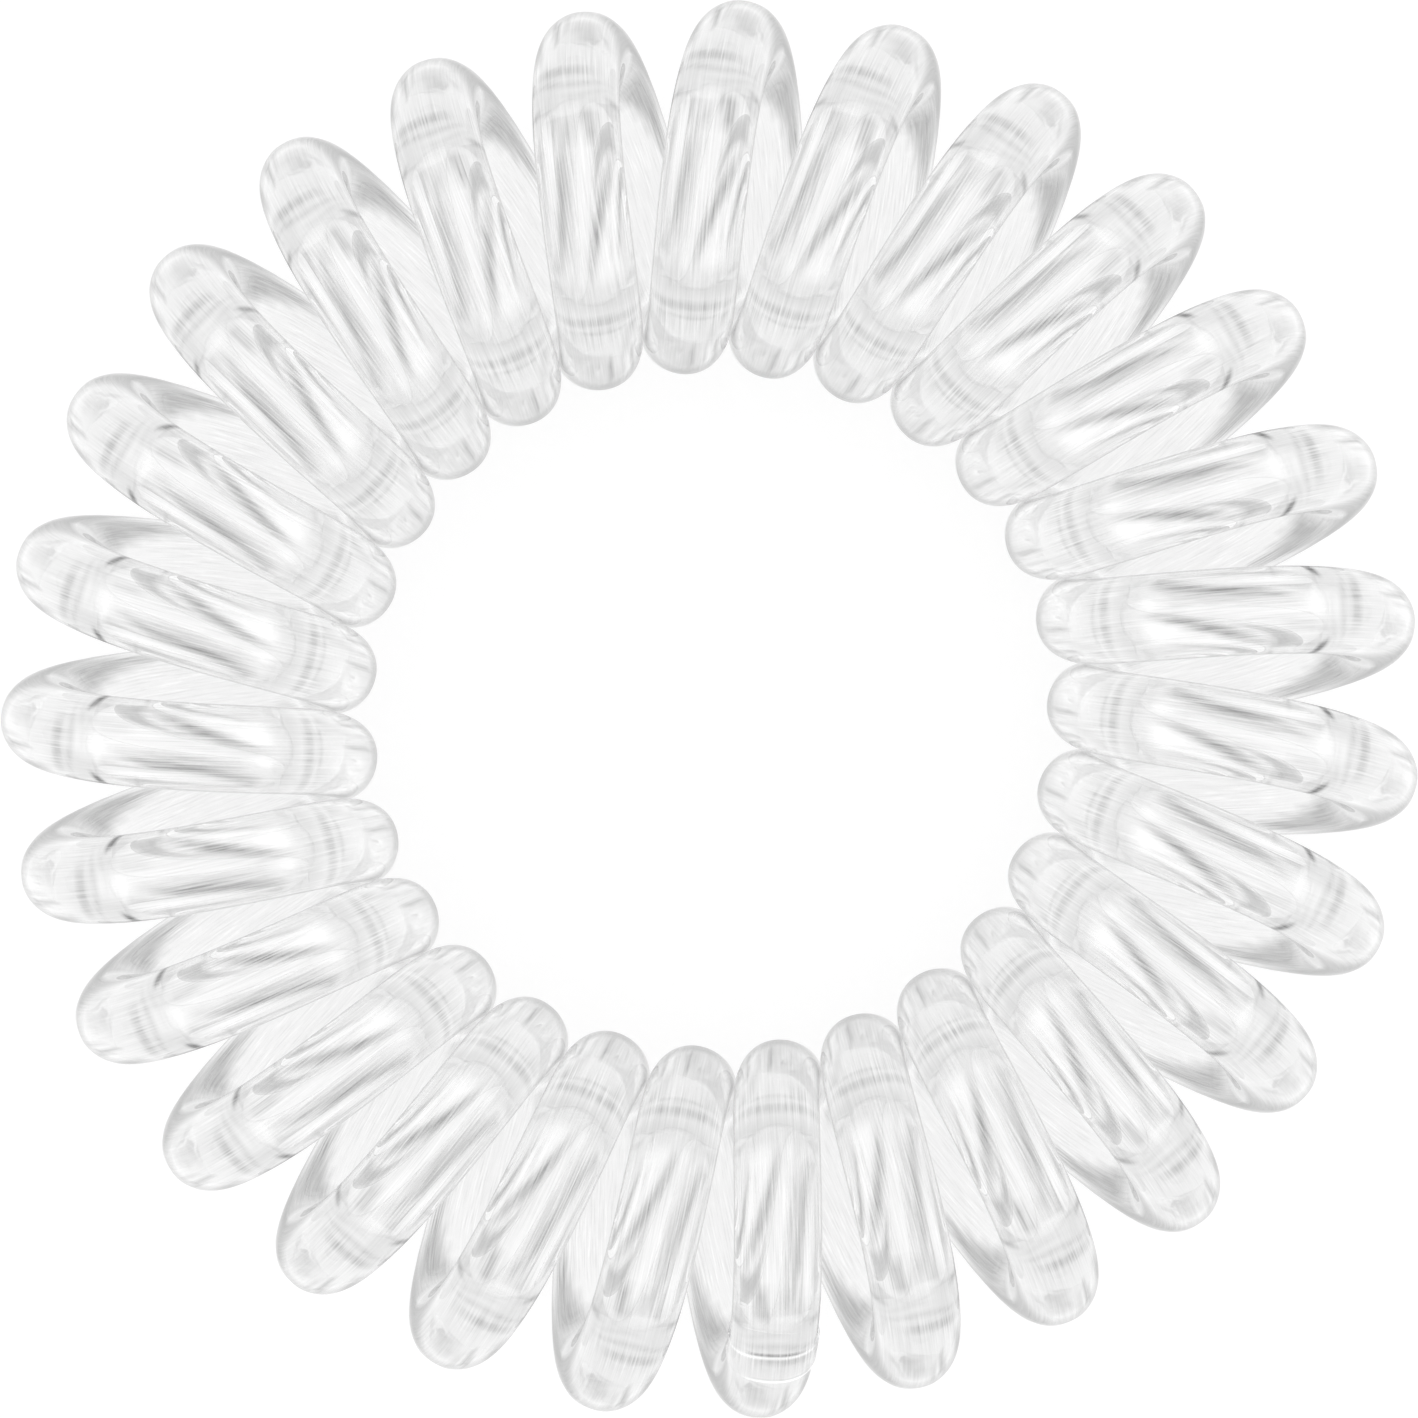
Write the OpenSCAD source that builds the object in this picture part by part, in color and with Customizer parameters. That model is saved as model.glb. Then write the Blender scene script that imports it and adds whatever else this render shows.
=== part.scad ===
// Spiral hair tie: one clear elastic wire wound into 27 close turns, bent round into a ring,
// its two ends welded end to end by a short band that stands a little proud of the wire.
// Millimetres, Z up. The ring lies flat, its turns on z = 0 and its middle on the Z axis.
// The welded turn is at the front, towards -Y.

/* [Wire] */
// Diameter of the round wire
wire_d = 2.7; // [2.2:0.1:3.4]

/* [Spiral] */
// Outer diameter of the spiral, across one turn
coil_d = 11.8; // [10:0.1:14]
// Number of turns round the ring
turns = 27; // [20:1:32]
// Clearance between neighbouring turns at the waist of the ring, where they crowd together
turn_gap = 0.09; // [0.05:0.01:0.5]

/* [Weld] */
// Length of the welded band along the wire
weld_l = 0.95; // [0.7:0.05:2.4]
// How far the band stands proud of the wire all round
weld_proud = 0.06; // [0.02:0.01:0.15]
// Clearance between the band and each end face of the wire
weld_gap = 0.02; // [0.01:0.01:0.05]
// How far the band's middle has climbed round its turn from the outer rim, in degrees
weld_climb = 52; // [10:1:80]

/* [Mesh] */
// Flat sides round the wire
wire_sides = 12; // [8:1:14]
// Rings of facets along each turn
turn_steps = 16; // [12:1:18]

/* [Hidden] */

// The coil's centre line, from its outer diameter
coil_r = (coil_d - wire_d) / 2;

// Neighbouring turns lie turn_gap apart across the wire. The wire leans along the waist
// by its own pitch, so the pitch there is a little more than the wire and the gap together.
turn_space = wire_d + turn_gap;
waist_pitch = turn_space / sqrt(1 - pow(turn_space / (2 * PI * coil_r), 2));
waist_r = turns * waist_pitch / (2 * PI);
ring_r = waist_r + coil_r;

// Turn angle runs along the wire, 360 degrees for each turn, and starts at the outer rim
// of the welded turn. The same angle shared among the turns goes round the ring.
front_azimuth = -90;
wire_per_degree = PI * coil_r / 180;
weld_half = weld_l / 2 / wire_per_degree;
weld_gap_angle = weld_gap / wire_per_degree;
weld_steps = 2;
coil_from = weld_climb + weld_half + weld_gap_angle;
coil_to = weld_climb - weld_half - weld_gap_angle + 360 * turns;

wire_colour = [0.93, 0.94, 0.95, 0.55];

function azimuth(t) = front_azimuth + t / turns;

function ring_out(t) = [cos(azimuth(t)), sin(azimuth(t)), 0];

function ring_along(t) = [-sin(azimuth(t)), cos(azimuth(t)), 0];

// Away from the coil's own centre, square to the wire
function coil_out(t) = cos(t) * ring_out(t) + [0, 0, sin(t)];

function wire_centre(t) = ring_r * ring_out(t) + coil_r * coil_out(t) + [0, 0, coil_d / 2];

// Along the wire, up over the turn from the outer rim while it moves on round the ring
function wire_heading(t) =
    let (climb = coil_r * (cos(t) * [0, 0, 1] - sin(t) * ring_out(t)),
         onward = (ring_r + coil_r * cos(t)) / turns * ring_along(t),
         run = climb + onward)
    run / norm(run);

// The wire's section at one turn angle: a polygon square to the wire
function wire_section(t, r) =
    let (outward = coil_out(t),
         sideways = cross(wire_heading(t), outward))
    [for (i = [0 : wire_sides - 1])
        let (a = 360 * i / wire_sides)
        wire_centre(t) + r * (cos(a) * outward + sin(a) * sideways)];

// Two triangles for each side between one ring of corners and the next
function band_faces(ring) =
    let (here = ring * wire_sides,
         next = here + wire_sides)
    [for (i = [0 : wire_sides - 1])
        let (j = (i + 1) % wire_sides)
        each [[here + i, next + i, next + j], [here + i, next + j, here + j]]];

// A length of wire between two turn angles, with flat end faces
module wire_run(from, to, steps, r) {
    sections = [for (k = [0 : steps]) wire_section(from + (to - from) * k / steps, r)];
    corners = [for (section = sections) each section];
    last = steps * wire_sides;
    start_face = [for (i = [0 : wire_sides - 1]) i];
    end_face = [for (i = [wire_sides - 1 : -1 : 0]) last + i];
    walls = [for (k = [0 : steps - 1]) each band_faces(k)];
    polyhedron(points = corners, faces = concat([start_face, end_face], walls), convexity = 10);
}

// The whole spiral, from one side of the weld round to the other
module spiral_coil() {
    color(wire_colour)
        wire_run(coil_from, coil_to, turns * turn_steps, wire_d / 2);
}

// The fused band that bridges the two ends of the wire
module weld_joint() {
    color(wire_colour)
        wire_run(weld_climb - weld_half, weld_climb + weld_half, weld_steps, wire_d / 2 + weld_proud);
}

spiral_coil();
weld_joint();
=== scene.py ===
# Clear spiral hair tie, lying flat on a pale floor and seen from straight above.
# Metres, Z up. The ring's axis is the Z axis, and the welded turn is at the front, towards -Y.
# Turn angle runs along the wire, 360 degrees for each turn, and starts at the outer rim of the welded
# turn: 90 is the top of a turn, 180 its inner rim and 270 its bottom. Azimuth goes round the ring.

import bisect
import math

import bpy
from mathutils import Matrix, Vector


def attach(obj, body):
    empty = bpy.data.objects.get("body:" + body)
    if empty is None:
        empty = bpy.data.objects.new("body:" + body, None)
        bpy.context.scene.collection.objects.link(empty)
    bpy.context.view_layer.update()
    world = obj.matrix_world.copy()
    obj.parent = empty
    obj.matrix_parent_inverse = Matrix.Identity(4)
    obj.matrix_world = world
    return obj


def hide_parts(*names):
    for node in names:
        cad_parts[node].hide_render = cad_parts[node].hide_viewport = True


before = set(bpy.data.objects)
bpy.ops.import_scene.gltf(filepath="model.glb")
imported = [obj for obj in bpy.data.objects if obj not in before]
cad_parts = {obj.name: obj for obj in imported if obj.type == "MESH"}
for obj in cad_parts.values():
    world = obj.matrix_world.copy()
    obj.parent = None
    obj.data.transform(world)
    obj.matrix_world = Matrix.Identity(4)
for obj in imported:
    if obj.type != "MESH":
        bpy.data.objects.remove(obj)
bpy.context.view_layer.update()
print("frame loaded, nodes:", ", ".join(sorted(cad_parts)))

mm = 0.001
scene = bpy.context.scene


# The wire's path has the same driving sizes as the CAD solids
wire = {
    "across": 2.7 * mm,
    "turnAcross": 11.8 * mm,
    "turns": 27,
    "turnGap": 0.09 * mm,        # between neighbouring turns at the waist of the ring
    "weldedTurnAt": -90,         # degrees round the ring, where the welded turn's outer rim points
}
turnRadius = (wire["turnAcross"] - wire["across"]) / 2
turnSpace = wire["across"] + wire["turnGap"]
waistPitch = turnSpace / math.sqrt(1 - (turnSpace / (2 * math.pi * turnRadius)) ** 2)
ringRadius = wire["turns"] * waistPitch / (2 * math.pi) + turnRadius
mmPerDegree = math.radians(1) * turnRadius / mm


def azimuthAt(turnAngle):
    return math.radians(wire["weldedTurnAt"] + turnAngle / wire["turns"])


def wireAt(turnAngle):
    # Centre of the wire, the way out from the spiral's middle and the way sideways, at one turn angle
    azimuth = azimuthAt(turnAngle)
    ringOut = Vector((math.cos(azimuth), math.sin(azimuth), 0))
    ringAlong = Vector((-math.sin(azimuth), math.cos(azimuth), 0))
    up = Vector((0, 0, 1))
    c, s = math.cos(math.radians(turnAngle)), math.sin(math.radians(turnAngle))
    outward = c * ringOut + s * up
    centre = ringRadius * ringOut + turnRadius * outward + wire["turnAcross"] / 2 * up
    climb = turnRadius * (c * up - s * ringOut)
    onward = (ringRadius + turnRadius * c) / wire["turns"] * ringAlong
    sideways = (climb + onward).normalized().cross(outward)
    return centre, outward, sideways


# Camera, straight above the ring. A pixel is one photo pixel at the height of the ring's middle.
camera = {
    "frameWide": 1418,           # pixels
    "pixel": 0.031825 * mm,
    "height": 3535,              # pixels above the ring's middle
    "aimRight": -1.7,            # pixels from the ring's middle to the picture's middle
    "aimUp": 0.6,
    "roll": -3.773,              # degrees, which stands the welded turn where the photo has it
    "sensor": 36,                # millimetres
    "clipStart": 10 * mm,
}


def addCamera():
    data = bpy.data.cameras.new("camera")
    data.sensor_width = camera["sensor"]
    data.lens = camera["sensor"] * camera["height"] / camera["frameWide"]
    data.clip_start = camera["clipStart"]
    eye = bpy.data.objects.new("camera", data)
    roll = Matrix.Rotation(math.radians(camera["roll"]), 4, "Z")
    spot = roll @ Vector((camera["aimRight"], camera["aimUp"], camera["height"])) * camera["pixel"]
    spot.z += wire["turnAcross"] / 2
    eye.matrix_world = Matrix.Translation(spot) @ roll
    scene.collection.objects.link(eye)
    scene.camera = eye


# Coil. Its outside is the half of the wire's wall away from the spiral's middle, its inside the other.
# What the clear wire shows within itself, the shadows and the light bent through it, is drawn as soft
# marks along it: painted shade, and painted highlights. Each row of a mark is: turn angle, place across
# the wire (-1 to 1, 0 on its middle line), half its width there, and how dark its painted shade is, or
# how bright its painted highlight where it is less than 0. The two numbers after a mark's rows say how
# strong it is on the strands that point to the photo's sides, and on those that point to its top and
# bottom, as the light falls on them differently.
# The other tables run along the turn too: turn angle first, then a value.
coil = {
    "ringSpacing": [             # from, to and how many sections between
        (15, 50, 7),
        (50, 60, 8),
        (60, 66, 6),
        (66, 72, 6),
        (72, 118, 9),
        (118, 125, 3),
        (125, 132, 5),
        (132, 142, 8),
        (142, 180, 5),
        (180, 330, 12),
        (330, 375, 5),
    ],
    "sidesOutside": 32,
    "sidesInside": 18,
    "marks": {
        "onOutside": [
            # window through the top of the turn
            ([(68, -0.36, 0.14, 0), (71, -0.36, 0.19, 0.34), (77, -0.40, 0.16, 0.38),
              (84, -0.44, 0.08, 0)], 0.2, 0.95),
            ([(71, 0.25, 0.45, 0), (73, 0.25, 0.42, 0.17), (77, 0.22, 0.28, 0.12), (82, 0.25, 0.2, 0)],
             0.6, 1.2),
            ([(78, -0.88, 0.05, 0), (86, -0.74, 0.08, 0.13), (91, -0.62, 0.11, 0.26),
              (98, -0.43, 0.13, 0.38), (106, -0.22, 0.11, 0.42), (112, -0.09, 0.10, 0.34),
              (119, 0.04, 0.10, 0.22), (125, 0.12, 0.12, 0)], 1.1, 0.9),
            ([(74, 0.12, 0.10, 0), (79, 0.24, 0.11, 0.16), (86, 0.42, 0.10, 0.32),
              (94, 0.46, 0.10, 0.42), (103, 0.54, 0.10, 0.36), (111, 0.63, 0.11, 0.32),
              (118, 0.74, 0.12, 0.22), (123, 0.8, 0.12, 0)], 1.15, 0.75),
            ([(80, 0.17, 0.06, 0), (88, 0.26, 0.08, 0.14), (98, 0.31, 0.08, 0.16),
              (110, 0.42, 0.08, 0.12), (118, 0.5, 0.08, 0)], 1, 1),
            ([(74, -0.24, 0.10, 0), (82, -0.10, 0.12, -0.04), (96, 0.05, 0.12, -0.05),
              (108, 0.19, 0.12, -0.06), (119, 0.32, 0.12, 0)], 1, 1),
            ([(95, -0.68, 0.09, 0), (101, -0.60, 0.12, -0.10), (112, -0.42, 0.22, -0.12),
              (119, -0.34, 0.28, -0.12), (124, -0.3, 0.2, 0)], 1.1, 0.9),
            ([(88, -0.92, 0.04, 0), (96, -0.82, 0.05, 0.20), (104, -0.74, 0.05, 0.30),
              (112, -0.66, 0.05, 0.18), (120, -0.6, 0.05, 0)], 0.7, 1.2),
            ([(103, -0.55, 0.03, 0), (108, -0.50, 0.03, 0.14), (116, -0.44, 0.03, 0.10),
              (121, -0.4, 0.03, 0)], 0.6, 1.2),
            ([(74, 0.66, 0.06, 0), (80, 0.66, 0.07, -0.10), (90, 0.70, 0.06, -0.10),
              (100, 0.74, 0.05, -0.08), (110, 0.80, 0.05, 0)], 1.2, 0.7),
            ([(74, 0.80, 0.05, 0), (80, 0.80, 0.05, 0.16), (90, 0.84, 0.05, 0.20),
              (102, 0.88, 0.05, 0.16), (116, 0.92, 0.05, 0.1)], 1, 1),
            ([(113, 0.30, 0.12, 0), (118, 0.38, 0.14, -0.10), (122, 0.44, 0.14, -0.10),
              (125, 0.5, 0.14, 0)], 1.3, 0.5),
            # ends of the window
            ([(122, 0.00, 1.2, 0), (125, 0.0, 1.2, 0.06), (129, 0.0, 1.2, 0.07), (132, 0.0, 1.2, 0.02)],
             1, 1),
            ([(133.6, 0.1, 1.0, 0), (135.2, 0.1, 1.0, 0.19), (136.8, 0.1, 1.0, 0.19),
              (138.4, 0.1, 1.0, 0)], 1, 1),
            ([(139.0, 0.1, 0.9, 0), (140.4, 0.1, 0.9, 0.15), (141.8, 0.1, 0.9, 0)], 1, 1),
            ([(53, 0.15, 0.62, 0), (54.6, 0.15, 0.6, 0.22), (56.4, 0.12, 0.62, 0.22),
              (58, 0.1, 0.75, 0)], 1, 1),
            ([(59.4, 0.1, 0.9, 0), (60.8, 0.1, 0.9, 0.17), (63, 0.1, 0.9, 0)], 1, 1),
            ([(63.4, -0.3, 0.6, 0), (65, -0.3, 0.6, 0.1), (66.6, -0.3, 0.6, 0)], 1, 1),
            # painted highlights at the window's ends, painted shade on the caps and at the window's
            # corners
            ([(59, 0.0, 0.25, 0), (64, 0.0, 0.35, -0.15), (70, 0.05, 0.38, -0.21),
              (76, 0.1, 0.3, -0.17), (84, 0.1, 0.15, 0)], 1, 0.1),
            ([(108, -0.4, 0.15, 0), (115, -0.25, 0.25, -0.10), (121, 0.02, 0.5, -0.15),
              (126, 0.1, 0.6, -0.10), (130, 0.1, 0.6, 0)], 1, 0.3),
            ([(10, 0, 3, 0), (24, 0, 3, 0.03), (60, 0, 3, 0.025), (67, 0, 3, 0)], -1, 1),
            ([(128, 0, 3, 0), (136, 0, 3, 0.025), (160, 0, 3, 0.035), (190, 0, 3, 0.03),
              (200, 0, 3, 0)], -1, 1),
            ([(62.6, -0.85, 0.16, 0), (63.8, -0.87, 0.17, 0.65), (65.2, -0.92, 0.15, 0.8),
              (66.8, -0.96, 0.12, 0)], 1, 0.22),
            ([(65.6, 0.84, 0.15, 0), (66.8, 0.87, 0.16, 0.75), (68.4, 0.92, 0.13, 0.85),
              (70, 0.96, 0.1, 0)], 1, 0.22),
            ([(125.6, -0.8, 0.24, 0), (127, -0.8, 0.26, -0.3), (128.4, -0.8, 0.24, 0)], 0.4, 0.8),
            # outer cap
            ([(26, -0.30, 0.30, 0.05), (32, -0.28, 0.34, 0.16), (38, -0.36, 0.30, 0.18),
              (43, -0.50, 0.2, 0.10), (45, -0.6, 0.2, 0)], 0.6, 1.4),
            ([(25, 0.29, 0.05, 0), (29, 0.29, 0.05, 0.45), (39, 0.29, 0.05, 0.4), (43, 0.29, 0.05, 0)],
             1, 1),
            ([(22, 0.383, 0.05, 0), (27, 0.383, 0.05, 0.3), (34, 0.383, 0.05, 0.3),
              (38, 0.383, 0.05, 0)], 1, 1),
            ([(22, 0.098, 0.05, 0), (26, 0.098, 0.05, 0.2), (34, 0.098, 0.05, 0.2),
              (38, 0.098, 0.05, 0)], 1, 1),
            ([(8, 0.97, 0.10, 0.2), (20, 0.93, 0.12, 0.32), (36, 0.80, 0.14, 0.30),
              (44, 0.74, 0.12, 0.26), (50, 0.70, 0.10, 0)], 1, 1),
            ([(0, -0.95, 0.45, 0.42), (8, -0.93, 0.4, 0.34), (18, -0.92, 0.3, 0.24),
              (35, -0.9, 0.2, 0.14), (46, -0.9, 0.15, 0)], 1, 1),
            ([(300, -1, 0.35, 0), (320, -1, 0.35, 0.3), (340, -1, 0.38, 0.42), (354, -0.97, 0.42, 0.44),
              (360, -0.95, 0.45, 0.42)], 1, 1),
            ([(20, 0.05, 0.25, 0), (28, 0.0, 0.3, -0.10), (37, 0.1, 0.34, -0.10), (44, 0.1, 0.3, 0)],
             1, 0),
            # inner cap
            ([(140, -0.72, 0.12, 0), (144, -0.62, 0.16, 0.20), (149, -0.46, 0.14, 0.16),
              (153, -0.36, 0.1, 0)], 0.8, 1.2),
            ([(149, 0.62, 0.34, 0), (152, 0.5, 0.45, 0.08), (158, 0.35, 0.55, 0.11),
              (170, 0.3, 0.6, 0.11), (184, 0.3, 0.6, 0)], 0.4, 1.6),
            ([(153, -0.556, 0.05, 0), (157, -0.556, 0.05, 0.32), (167, -0.556, 0.05, 0.3),
              (173, -0.556, 0.05, 0)], 1, 1),
            ([(155, -0.29, 0.05, 0), (159, -0.29, 0.05, 0.2), (168, -0.29, 0.05, 0.2),
              (174, -0.29, 0.05, 0)], 1, 1),
            ([(153, 0, 0.05, 0), (157, 0, 0.05, 0.28), (167, 0, 0.05, 0.26), (173, 0, 0.05, 0)], 1, 1),
            ([(146, 0.2, 0.3, 0), (152, 0.3, 0.3, -0.10), (160, 0.5, 0.3, -0.10), (168, 0.6, 0.2, 0)],
             1, 0),
        ],
        "onInside": [
            # back strands, seen between the front ones: painted shade along their edges
            ([(284, -0.80, 0.05, 0), (295, -0.80, 0.10, 0.28), (308, -0.80, 0.15, 0.42),
              (320, -0.80, 0.2, 0.46), (330, -0.78, 0.30, 0.48), (340, -0.76, 0.42, 0.50),
              (347, -0.78, 0.6, 0.48), (352, -0.8, 0.7, 0.46), (357, -0.85, 0.7, 0.42),
              (360, -0.9, 0.6, 0.36)], 1, 1),
            ([(206, 0.80, 0.16, 0), (214, 0.80, 0.16, 0.26), (226, 0.78, 0.12, 0.22),
              (238, 0.75, 0.1, 0)], 1, 1),
        ],
    },
    "markStrength": 0.95,
    "wideMark": 0.5,             # a mark is wide if its half width starts from here
    "wideEdge": 4,               # power of the fall off at its edges, also for all marks on the inside
    "narrowEdge": 3,             # the same for the other marks
    "markBend": [                # degrees that wide marks and the painted glow bend at the wire's sides
        (57, 4),
        (62, 7),
        (71, 7),
        (135, -3),
    ],
    "plainShade": {               # painted shade: how much light the wall holds back where it has no mark, more where it faces up
        "onOutside": [(0, 0.23), (20, 0.22), (34, 0.185), (58, 0.175), (68, 0.17), (72, 0.15),
                      (122, 0.15), (134, 0.175), (150, 0.165), (180, 0.15), (230, 0.02), (330, 0.02),
                      (360, 0.23)],
        "onInside": [(0, 0.01), (180, 0.01), (200, 0.12), (340, 0.12), (360, 0.01)],
    },
    "fineLines": [               # how strong the fine lines are
        (0, 0.3), (20, 0.2), (44, 0.12), (52, 0.45), (57, 0.45), (62, 0.15), (72, 0.42), (118, 0.42),
        (130, 0.25), (136, 0.5), (142, 0.5), (148, 0.15), (170, 0.3), (200, 0.22), (270, 0.3),
        (285, 0.45), (305, 0.4), (318, 0.15), (350, 0.15), (360, 0.3),
    ],
    "linesBelow": 0.1,           # share of the fine lines on walls that don't face up
    "paintedGlow": {                    # how much of what shows is painted glow: plain pale light in place of what the wall lets through
        "onOutside": [(0, 0.5), (20, 0.65), (40, 0.72), (62, 0.75), (69, 0.65), (76, 0.36), (84, 0.1),
                      (111, 0.1), (118, 0.3), (124, 0.52), (136, 0.65), (160, 0.6), (190, 0.35),
                      (215, 0.2), (320, 0.2), (360, 0.5)],
        "onInside": [(0, 0.2), (180, 0.2), (220, 0.2), (320, 0.2), (335, 0.3), (345, 0.45), (360, 0.45)],
    },
    "upFade": 3,                 # how soon a wall that turns up has its full lines and painted glow
}


def between(table, x):
    # Straight lines between rows of (x, value, value ...), held at the ends
    spot = bisect.bisect_left([row[0] for row in table], x)
    if spot == 0:
        return table[0][1:]
    if spot == len(table):
        return table[-1][1:]
    low, high = table[spot - 1], table[spot]
    part = (x - low[0]) / (high[0] - low[0])
    return tuple(a + (b - a) * part for a, b in zip(low[1:], high[1:]))


def wallAt(a):
    return "onOutside" if math.cos(a) > 0 else "onInside"


def markAt(rows, turnAngle, across, edge):
    if not rows[0][0] <= turnAngle <= rows[-1][0]:
        return 0
    middle, half, strength = between(rows, turnAngle)
    off = abs(across - middle) / half
    return strength * math.exp(-(off ** edge))


def bentAngle(turnAngle, a):
    # The turn angle that makes what crosses the wire stand straight across the view from above
    if math.cos(a) < 0 or turnAngle > 180:
        return turnAngle
    return turnAngle + math.sin(a) ** 2 * between(coil["markBend"], turnAngle)[0]


def toneAt(turnAngle, a):
    # The wall's painted shade and highlights at one place, for strands that point up or down the photo
    # and for those that point to its sides
    turnAngle %= 360
    across = math.sin(a)
    wall = wallAt(a)
    bent = bentAngle(turnAngle, a)
    upright = toSides = between(coil["plainShade"][wall], turnAngle)[0]
    for rows, atSides, atEnds in coil["marks"][wall]:
        wide = rows[0][2] >= coil["wideMark"]
        edge = coil["wideEdge" if wide or wall == "onInside" else "narrowEdge"]
        dark = markAt(rows, bent if wide else turnAngle, across, edge) * coil["markStrength"]
        upright += dark * atEnds
        toSides += dark * atSides
    return upright, toSides


def ringsOfTurn():
    # Turn angles of one turn's sections, closest where the marks cross the wire
    angles = []
    for start, end, count in coil["ringSpacing"]:
        angles += [start + (end - start) * k / count for k in range(count)]
    return angles


def sidesOfWire():
    # Places round the wire, closer on its outside
    outside = [math.pi * (k / coil["sidesOutside"] - 0.5) for k in range(coil["sidesOutside"])]
    inside = [math.pi * (k / coil["sidesInside"] + 0.5) for k in range(coil["sidesInside"])]
    return outside + inside


def tubeFaces(sections, places):
    # Faces from each section to the next, and from the last to the first. Their corners carry "skin",
    # the place round the wire and along it, in mm.
    faces, skin = [], []
    rings, sides = len(sections), len(places)
    for ring in range(rings):
        after = (ring + 1) % rings
        step = sections[after][0] - sections[ring][0]
        if step < -360:              # where the last turn meets the first
            step += 360 * wire["turns"]
        along = (sections[ring][0] * mmPerDegree, (sections[ring][0] + step) * mmPerDegree)
        for side in range(sides):
            beside = (side + 1) % sides
            faces.append((ring * sides + side, ring * sides + beside,
                          after * sides + beside, after * sides + side))
            for place, end in ((side, 0), (beside, 0), (beside, 1), (side, 1)):
                skin.append((math.cos(places[place]), math.sin(places[place]), along[end]))
    return faces, skin


def loopedTube(name, sections, places, body, node, tones, hasPaintedGlow, bend=None):
    # A closed surface through round sections of the wire. Each section is a turn angle, a radius and
    # the angle that the wall leans along the wire. Every point carries its painted shade and highlights,
    # and how strong the fine lines and the painted glow are there.
    corners, normals = [], []
    paint = {"tone": [], "lines": [], "paintedGlow": []}
    for number, (turnAngle, radius, lean) in enumerate(sections):
        centre, outward, sideways = wireAt(turnAngle)
        onward = outward.cross(sideways)
        # How far the strand points to the sides, which sets how its painted shade and highlights fall
        sideness = math.cos(azimuthAt(turnAngle) + math.radians(camera["roll"])) ** 2
        lined = between(coil["fineLines"], turnAngle % 360)[0]
        for side, a in enumerate(places):
            if bend:
                centre, outward, sideways = wireAt(turnAngle + bend(a))
                onward = outward.cross(sideways)
            away = math.cos(a) * outward + math.sin(a) * sideways
            corners.append(centre + radius * away)
            normals.append((math.cos(lean) * away + math.sin(lean) * onward).normalized())
            upright, toSides = tones(turnAngle, a, number, side)
            paint["tone"].append(upright + (toSides - upright) * sideness)
            facesUp = max(0, min(1, coil["upFade"] * away.z))
            paint["lines"].append(lined * max(coil["linesBelow"], facesUp))
            paintedGlow = between(coil["paintedGlow"][wallAt(a)], bentAngle(turnAngle % 360, a))[0]
            paint["paintedGlow"].append(paintedGlow * facesUp if hasPaintedGlow else 0)
    faces, skin = tubeFaces(sections, places)
    mesh = bpy.data.meshes.new(name)
    mesh.from_pydata(corners, [], faces)
    mesh.polygons.foreach_set("use_smooth", [True] * len(faces))
    mesh.normals_split_custom_set_from_vertices(normals)
    layer = mesh.attributes.new("skin", "FLOAT_VECTOR", "CORNER")
    layer.data.foreach_set("vector", [value for point in skin for value in point])
    for label, values in paint.items():
        layer = mesh.attributes.new(label, "FLOAT", "POINT")
        layer.data.foreach_set("value", values)
    mesh.update()
    piece = bpy.data.objects.new(name, mesh)
    scene.collection.objects.link(piece)
    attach(piece, body)
    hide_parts(node)
    return piece


def makeCoil():
    turn = ringsOfTurn()
    places = sidesOfWire()
    painted = [[toneAt(turnAngle, a) for a in places] for turnAngle in turn]
    sections = []
    for k in range(wire["turns"]):
        sections += [(360 * k + turnAngle, wire["across"] / 2, 0) for turnAngle in turn]

    def tones(turnAngle, a, number, side):
        return painted[number % len(turn)][side]

    return loopedTube("spiral_coil_wire", sections, places, "root", "spiral_coil",
                      tones, True)


# Weld, a closed sleeve round the two ends of the wire, its rims rounded
weld = {
    "climb": 52,                 # degrees from the outer rim to its middle
    "long": 0.99 * mm,
    "proud": 0.05 * mm,
    "rooted": 0.05 * mm,         # how far its inner side lies in the wire
    "rim": 0.04 * mm,
    "rimSteps": 4,
    "steps": 48,
    "sides": 96,
    "bendLeft": -4.5,            # degrees that its rims bend back at the left and right of the wire
    "bendRight": -1.5,
    "lines": [                   # degrees from its middle, half width, painted shade (painted highlight below 0), from where to where across
        (5.85, 0.42, 0.45, -0.7, 0.65),
        (4.85, 0.62, -0.32, -1.05, 0.95),
        (-4.5, 0.4, 0.16, -0.62, 0.8),
        (-5.5, 0.75, -0.30, -0.75, 1.1),
        (-6.35, 0.4, 0.16, -0.6, 0.9),
    ],
}


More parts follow.
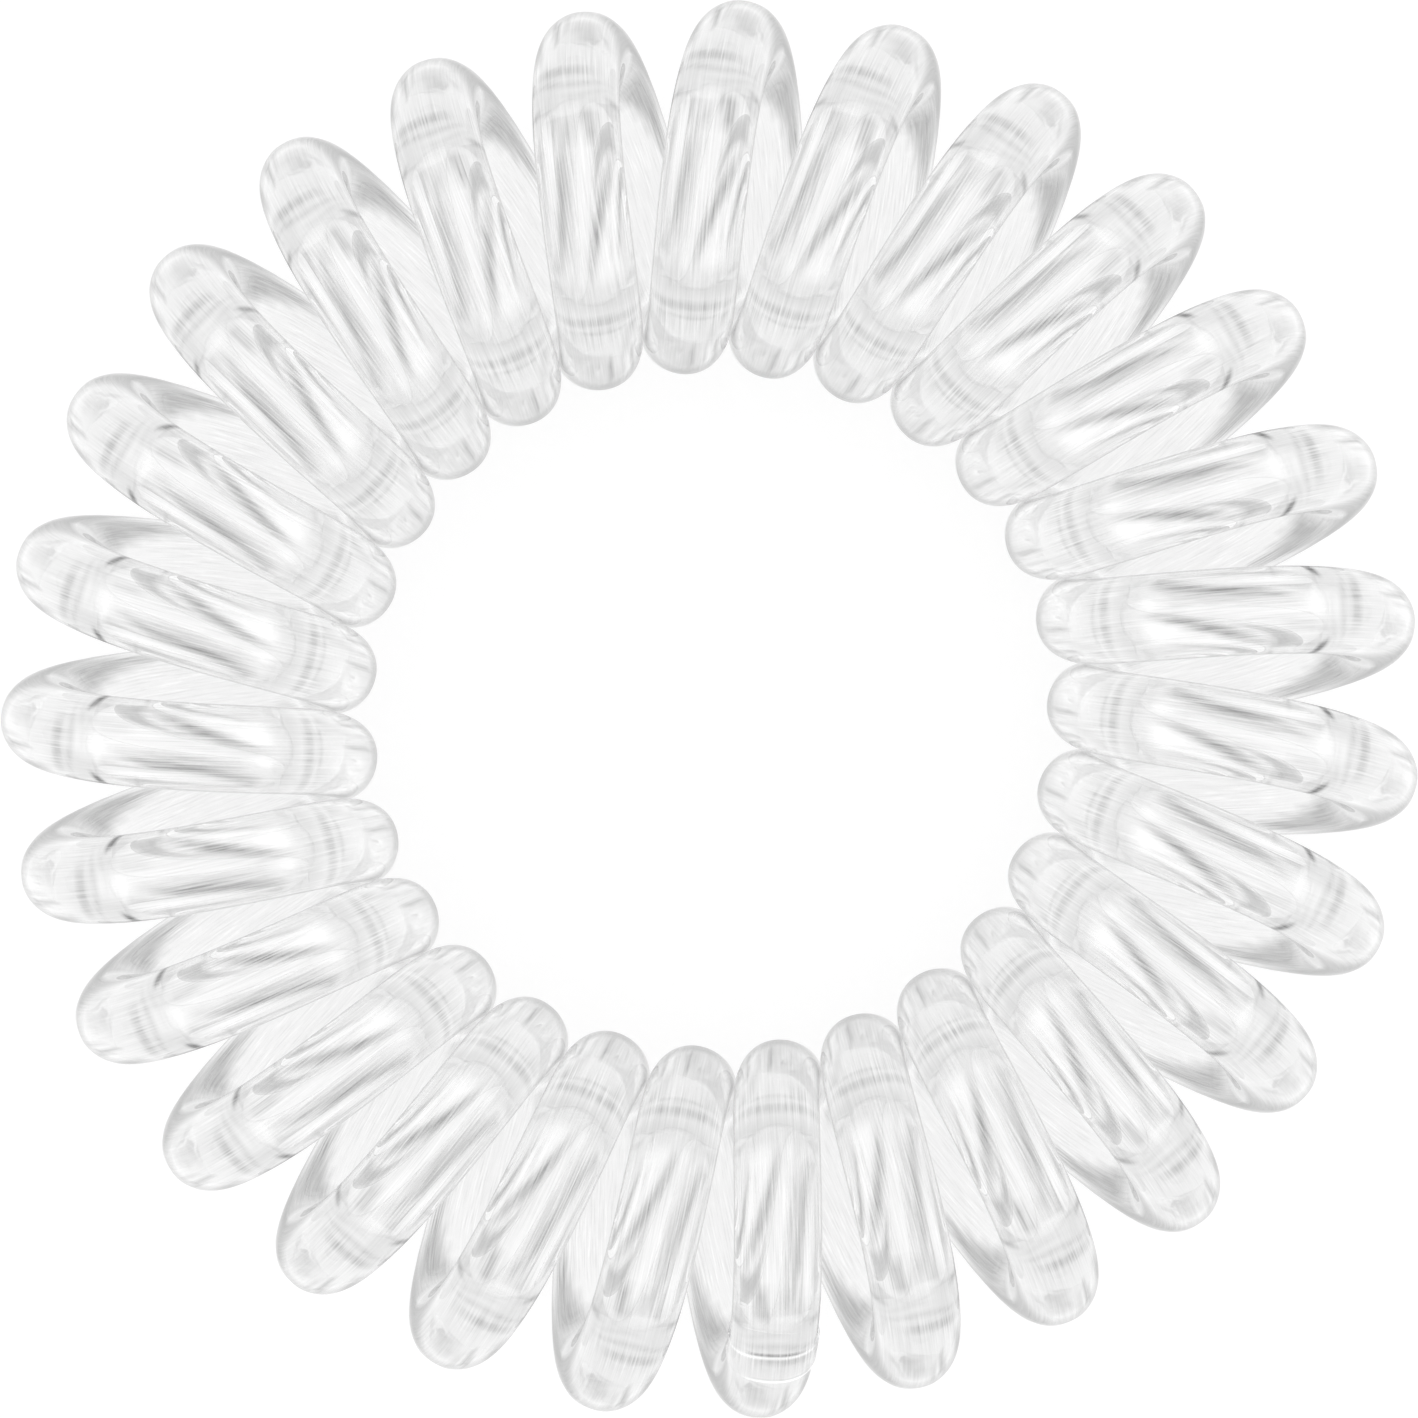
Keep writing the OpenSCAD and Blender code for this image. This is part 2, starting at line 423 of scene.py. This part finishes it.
def makeWeld():
    half = weld["long"] / 2
    outer = wire["across"] / 2 + weld["proud"]
    inner = wire["across"] / 2 - weld["rooted"]
    rim = weld["rim"]
    # Its sections' profile, each a place along the wire from its middle, a radius and a lean
    rounded = []
    for k in range(weld["rimSteps"] + 1):
        a = math.pi / 2 * k / weld["rimSteps"]
        rounded.append((half - rim + rim * math.sin(a), outer - rim + rim * math.cos(a), a))
    start = [(-x, r, -a) for x, r, a in reversed(rounded)]
    top = [((half - rim) * (2 * k / weld["steps"] - 1), outer, 0) for k in range(1, weld["steps"])]
    back = [(half * (1 - 2 * k / weld["steps"]), inner, math.pi) for k in range(weld["steps"] + 1)]
    degreesPerMetre = 1 / mmPerDegree / mm
    profile = start + top + rounded + back
    sections = [(weld["climb"] + x * degreesPerMetre, r, lean) for x, r, lean in profile]
    onTop = len(profile) - len(back)                  # how many sections its outer side has
    places = [2 * math.pi * k / weld["sides"] for k in range(weld["sides"])]

    def tones(turnAngle, a, number, side):
        across = math.sin(a)
        # Painted shade and painted highlights along the weld's rims
        tone = 0
        if wallAt(a) == "onOutside" and number < onTop:
            for middle, width, dark, left, right in weld["lines"]:
                off = (turnAngle - weld["climb"] - middle) / width
                place = (2 * across - left - right) / (right - left)
                tone += dark * math.exp(-off * off) * max(0, 1 - place ** 4)
        return tone, tone

    def bend(a):
        across = math.sin(a)
        return across ** 2 * weld["bendLeft" if across < 0 else "bendRight"]

    return loopedTube("weld_band", sections, places, "root", "weld_joint",
                      tones, False, bend)


# Studio: a pale floor and an even, soft sky that the clear wire mirrors and shows through itself
studio = {
    "floorWide": 1.6,
    "floorTone": 0.3,
    "floorRoughness": 0.9,
    "floorGlow": 0.8,
    "farGlow": 0.7,              # beyond the pool of light round the ring
    "poolNear": 0.036,
    "poolFar": 0.1,
    "sky": [                     # height above the horizon, 0 to 1, and brightness
        (0.0, 0.7),
        (0.03, 0.7),
        (0.09, 1.0),
        (1.0, 1.0),
    ],
    "backdrop": 0.99,            # what the camera sees beyond the floor
    "bounces": 11,               # how many walls of the clear wire the light goes through
}


def addFloor():
    half = studio["floorWide"] / 2
    mesh = bpy.data.meshes.new("floor")
    outline = [(-half, -half, 0), (half, -half, 0), (half, half, 0), (-half, half, 0)]
    mesh.from_pydata(outline, [], [(0, 1, 2, 3)])
    floor = bpy.data.objects.new("floor", mesh)
    scene.collection.objects.link(floor)
    pale = bpy.data.materials.new("pale_floor")
    pale.use_nodes = True
    nodes, links = pale.node_tree.nodes, pale.node_tree.links
    shader = nodes["Principled BSDF"]
    shader.inputs["Base Color"].default_value = (studio["floorTone"],) * 3 + (1,)
    shader.inputs["Roughness"].default_value = studio["floorRoughness"]
    shader.inputs["Specular IOR Level"].default_value = 0
    shader.inputs["Emission Strength"].default_value = 1
    # Painted pool of light: the floor glows brighter round the ring than beyond it
    place = nodes.new("ShaderNodeTexCoord")
    away = nodes.new("ShaderNodeVectorMath")
    away.operation = "LENGTH"
    fade = nodes.new("ShaderNodeMapRange")
    fade.interpolation_type = "SMOOTHSTEP"
    fade.inputs["From Min"].default_value = studio["poolNear"]
    fade.inputs["From Max"].default_value = studio["poolFar"]
    fade.inputs["To Min"].default_value = studio["floorGlow"]
    fade.inputs["To Max"].default_value = studio["farGlow"]
    links.new(place.outputs["Object"], away.inputs[0])
    links.new(away.outputs["Value"], fade.inputs["Value"])
    links.new(fade.outputs["Result"], shader.inputs["Emission Color"])
    pale.cycles.emission_sampling = "NONE"
    mesh.materials.append(pale)


def addSky():
    world = bpy.data.worlds.new("studio")
    scene.world = world
    world.cycles.sampling_method = "NONE"
    world.use_nodes = True
    nodes, links = world.node_tree.nodes, world.node_tree.links
    place = nodes.new("ShaderNodeTexCoord")
    split = nodes.new("ShaderNodeSeparateXYZ")
    ramp = nodes.new("ShaderNodeValToRGB")
    for height, bright in studio["sky"][1:-1]:
        ramp.color_ramp.elements.new(height)
    for stop, (height, bright) in zip(ramp.color_ramp.elements, studio["sky"]):
        stop.position = height
        stop.color = (bright, bright, bright, 1)
    plain = nodes.new("ShaderNodeBackground")
    plain.inputs["Color"].default_value = (studio["backdrop"],) * 3 + (1,)
    rays = nodes.new("ShaderNodeLightPath")
    mix = nodes.new("ShaderNodeMixShader")
    links.new(place.outputs["Generated"], split.inputs[0])
    links.new(split.outputs["Z"], ramp.inputs["Fac"])
    links.new(ramp.outputs["Color"], nodes["Background"].inputs["Color"])
    links.new(rays.outputs["Is Camera Ray"], mix.inputs["Fac"])
    links.new(nodes["Background"].outputs[0], mix.inputs[1])
    links.new(plain.outputs[0], mix.inputs[2])
    links.new(mix.outputs[0], nodes["World Output"].inputs["Surface"])


# Clear elastic plastic. Its fine lines were left by drawing the wire, and are painted into its colour as
# streaks of shade and light.
clearWire = {
    "roughness": 0.0,
    "ior": 1.5,
    "pale": (1.0, 1.0, 1.0),
    "dark": (0.02, 0.02, 0.02),
    "evenGlow": 0.05,                # faint even painted glow at each wall: the slight haze of the plastic, and light lost inside the wire
    "lineScale": 24.0,
    "lineStretch": 0.028,
    "lineDetail": 1,
    "lineRange": (0.3, 0.7),     # values of the noise that make the palest and the darkest line
    "lineContrast": 0.75,        # how far the fine lines break up a dark mark
    "plainLines": 0.11,          # how dark they are on the plain wire
    "paintedGlowTone": 0.83,            # how bright the painted glow is
    "outline": 0.9,              # how dark the painted shade at the wire's edge is, where it is seen along its surface
    "outlineFrom": 0.72,
}

# The weld is fused into the wire, so its own walls hardly bend the light.
# Its rims carry painted highlights and thin lines of painted shade.
clearWeld = dict(clearWire, ior=1.02, evenGlow=0.0, plainLines=0.0, outline=0.0, paintedGlowTone=0.0)


def clearMaterial(name, look):
    material = bpy.data.materials.new(name)
    material.use_nodes = True
    nodes, links = material.node_tree.nodes, material.node_tree.links
    shader = nodes["Principled BSDF"]
    shader.inputs["Roughness"].default_value = look["roughness"]
    shader.inputs["IOR"].default_value = look["ior"]
    shader.inputs["Transmission Weight"].default_value = 1
    shader.inputs["Emission Color"].default_value = (1, 1, 1, 1)
    material.cycles.emission_sampling = "NONE"

    def fromPaint(label):
        node = nodes.new("ShaderNodeAttribute")
        node.attribute_name = label
        return node

    def maths(operation, *terms):
        node = nodes.new("ShaderNodeMath")
        node.operation = operation
        for socket, term in zip(node.inputs, terms):
            if isinstance(term, (int, float)):
                socket.default_value = term
            else:
                links.new(term, socket)
        return node.outputs[0]

    tone = fromPaint("tone").outputs["Fac"]
    strength = fromPaint("lines").outputs["Fac"]
    paintedGlow = fromPaint("paintedGlow").outputs["Fac"]

    # Fine lines along the wire, from -1 to 1, which paint streaks of shade and light into the marks and
    # the plain wire
    stretch = nodes.new("ShaderNodeMapping")
    stretch.inputs["Scale"].default_value = (1, 1, look["lineStretch"])
    noise = nodes.new("ShaderNodeTexNoise")
    noise.inputs["Scale"].default_value = look["lineScale"]
    noise.inputs["Detail"].default_value = look["lineDetail"]
    fine = nodes.new("ShaderNodeMapRange")
    fine.inputs["From Min"].default_value = look["lineRange"][0]
    fine.inputs["From Max"].default_value = look["lineRange"][1]
    fine.inputs["To Min"].default_value = -1
    fine.inputs["To Max"].default_value = 1
    links.new(fromPaint("skin").outputs["Vector"], stretch.inputs["Vector"])
    links.new(stretch.outputs["Vector"], noise.inputs["Vector"])
    links.new(noise.outputs["Fac"], fine.inputs["Value"])
    lines = fine.outputs[0]

    # Painted shade that the wall holds back: the marks, broken up by the lines, and a few sparse lines
    # besides. Below 0 it is a painted highlight.
    contrast = maths("MULTIPLY", strength, look["lineContrast"])
    marked = maths("MULTIPLY", tone, maths("MULTIPLY_ADD", lines, contrast, 1))
    sparse = maths("MULTIPLY", maths("MULTIPLY", lines, lines), lines)
    hairs = maths("MULTIPLY", maths("MULTIPLY", sparse, strength), look["plainLines"])
    lined = maths("ADD", marked, hairs)

    # Painted shade at the wire's edge: it is darker where it is seen along its surface
    edge = nodes.new("ShaderNodeLayerWeight")
    outline = nodes.new("ShaderNodeMapRange")
    outline.inputs["From Min"].default_value = look["outlineFrom"]
    outline.inputs["To Max"].default_value = look["outline"]
    links.new(edge.outputs["Facing"], outline.inputs["Value"])
    shown = maths("SUBTRACT", 1, maths("ADD", lined, outline.outputs[0]))

    # Painted light that the wall gives off as glow: the painted glow where light goes into the wire, the
    # painted highlights, and the faint even glow
    wall = nodes.new("ShaderNodeNewGeometry")
    entering = maths("MULTIPLY", paintedGlow, maths("SUBTRACT", 1, wall.outputs["Backfacing"]))
    paintedGlowLight = maths("MULTIPLY", maths("MULTIPLY", entering, look["paintedGlowTone"]), shown)
    shine = maths("MAXIMUM", maths("MULTIPLY", lined, -1), 0)
    glow = maths("ADD", maths("MAXIMUM", paintedGlowLight, 0), maths("ADD", shine, look["evenGlow"]))
    links.new(glow, shader.inputs["Emission Strength"])

    # Light that it lets through, with the painted shade in its colour
    passed = maths("MAXIMUM", maths("MULTIPLY", shown, maths("SUBTRACT", 1, entering)), 0)
    squared = maths("MULTIPLY", passed, passed)       # glass takes the root of its colour at each wall
    colour = nodes.new("ShaderNodeMix")
    colour.data_type = "RGBA"
    colour.inputs[6].default_value = look["dark"] + (1,)       # colour A
    colour.inputs[7].default_value = look["pale"] + (1,)       # colour B
    links.new(squared, colour.inputs[0])
    links.new(colour.outputs[2], shader.inputs["Base Color"])
    return material


addCamera()
print("camera set")
spiral = makeCoil()
spiral.data.materials.append(clearMaterial("clear_elastic", clearWire))
print("coil made:", len(spiral.data.polygons), "faces")
band = makeWeld()
band.data.materials.append(clearMaterial("clear_weld", clearWeld))
print("weld made:", len(band.data.polygons), "faces")
addFloor()
addSky()
scene.cycles.max_bounces = studio["bounces"]
scene.cycles.transmission_bounces = studio["bounces"]
scene.cycles.glossy_bounces = studio["bounces"]
scene.view_settings.view_transform = "Standard"
print("floor and sky set")
